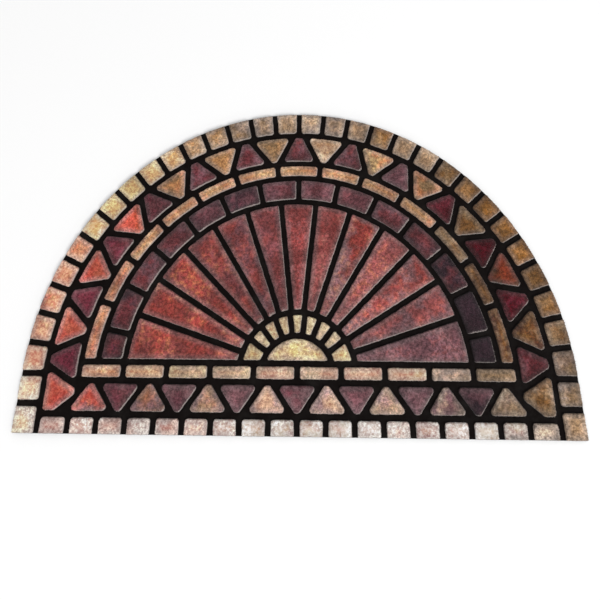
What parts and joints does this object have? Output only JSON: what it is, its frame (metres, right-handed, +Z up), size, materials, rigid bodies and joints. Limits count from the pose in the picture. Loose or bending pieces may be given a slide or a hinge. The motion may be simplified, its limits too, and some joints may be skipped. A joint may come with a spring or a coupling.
{
  "type": "doormat",
  "caption": "Half-round moulded rubber doormat with raised flocked pads in a fan of rays, brick courses and a zigzag.",
  "frame": {"origin": "centre of the bounding box on the flat underside, where the mat touches the floor", "axes": "+X along the straight edge to the right, +Y from the straight edge towards the top of the arch, +Z up"},
  "size_m": [0.762, 0.4572, 0.008],
  "materials": {
    "flocked_rubber": "printed short flock on the raised pads, matt black rubber in the grooves and underneath"
  },
  "bodies": {
    "root": {"mat": "flocked_rubber"}
  },
  "joints": []
}
